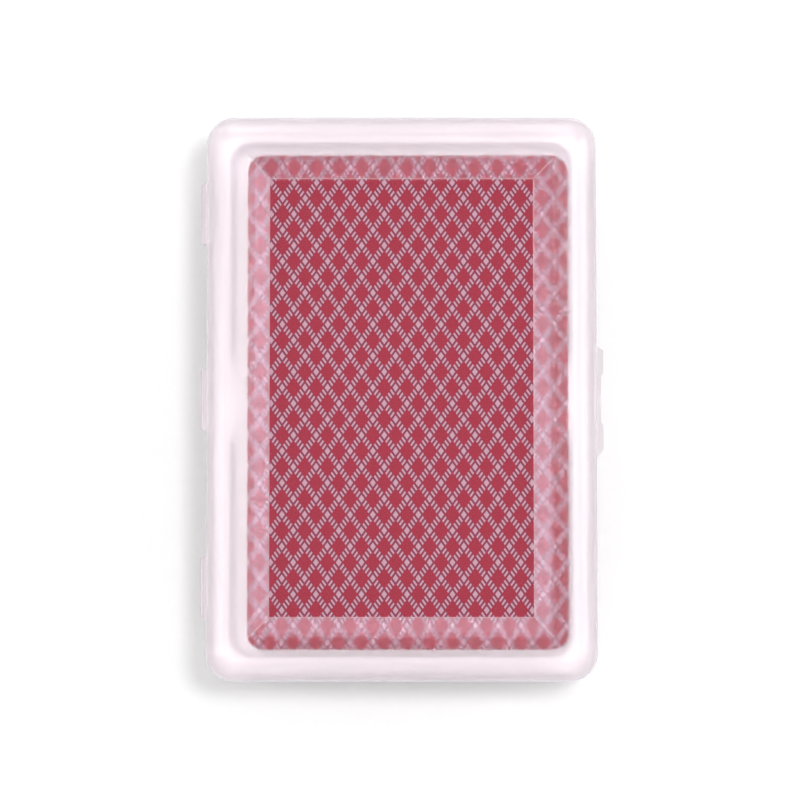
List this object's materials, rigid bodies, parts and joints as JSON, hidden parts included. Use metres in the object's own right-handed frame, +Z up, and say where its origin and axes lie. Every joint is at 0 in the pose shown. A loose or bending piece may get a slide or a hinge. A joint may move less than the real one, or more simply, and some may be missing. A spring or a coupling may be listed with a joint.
{
  "type": "playing card deck in a hinged case",
  "caption": "Deck of bridge-size playing cards, face down, in a frosted see-through plastic case with a living-hinge lid, sunk window and snap latch.",
  "frame": {"origin": "middle of the flat face that the tray rests on", "axes": "+Z up out of the tray, +X from the hinges to the latch, +Y along the long side"},
  "size_m": [0.0723, 0.1006, 0.0197],
  "materials": {
    "frosted_case": "moulded polypropylene, frosted and see-through",
    "printed_card": "printed and varnished card, smooth"
  },
  "bodies": {
    "case_tray": {"tray": "frosted_case", "near_hinge_web": "frosted_case", "middle_hinge_web": "frosted_case", "far_hinge_web": "frosted_case"},
    "case_lid": {"lid": "frosted_case"},
    "card_deck": {"two_of_hearts": "printed_card", "three_of_hearts": "printed_card", "four_of_hearts": "printed_card", "five_of_hearts": "printed_card", "six_of_hearts": "printed_card", "seven_of_hearts": "printed_card", "eight_of_hearts": "printed_card", "nine_of_hearts": "printed_card", "ten_of_hearts": "printed_card", "jack_of_hearts": "printed_card", "queen_of_hearts": "printed_card", "king_of_hearts": "printed_card", "ace_of_hearts": "printed_card", "two_of_clubs": "printed_card", "three_of_clubs": "printed_card", "four_of_clubs": "printed_card", "five_of_clubs": "printed_card", "six_of_clubs": "printed_card", "seven_of_clubs": "printed_card", "eight_of_clubs": "printed_card", "nine_of_clubs": "printed_card", "ten_of_clubs": "printed_card", "jack_of_clubs": "printed_card", "queen_of_clubs": "printed_card", "king_of_clubs": "printed_card", "ace_of_clubs": "printed_card", "two_of_diamonds": "printed_card", "three_of_diamonds": "printed_card", "four_of_diamonds": "printed_card", "five_of_diamonds": "printed_card", "six_of_diamonds": "printed_card", "seven_of_diamonds": "printed_card", "eight_of_diamonds": "printed_card", "nine_of_diamonds": "printed_card", "ten_of_diamonds": "printed_card", "jack_of_diamonds": "printed_card", "queen_of_diamonds": "printed_card", "king_of_diamonds": "printed_card", "ace_of_diamonds": "printed_card", "two_of_spades": "printed_card", "three_of_spades": "printed_card", "four_of_spades": "printed_card", "five_of_spades": "printed_card", "six_of_spades": "printed_card", "seven_of_spades": "printed_card", "eight_of_spades": "printed_card", "nine_of_spades": "printed_card", "ten_of_spades": "printed_card", "jack_of_spades": "printed_card", "queen_of_spades": "printed_card", "king_of_spades": "printed_card", "ace_of_spades": "printed_card", "red_joker": "printed_card", "black_joker": "printed_card"}
  },
  "joints": [
    {"name": "lid_hinge", "type": "hinge", "parent": "case_tray", "child": "case_lid", "pos_m": [-0.03593, 0, 0.00985], "axis": [0, -1, 0], "range_deg": [0, 180], "deforming": ["near_hinge_web", "middle_hinge_web", "far_hinge_web"]},
    {"name": "deck_shift", "type": "slide", "parent": "case_tray", "child": "card_deck", "axis": [1, 0, 0], "range_m": [-0.00246, 0.00024]}
  ]
}
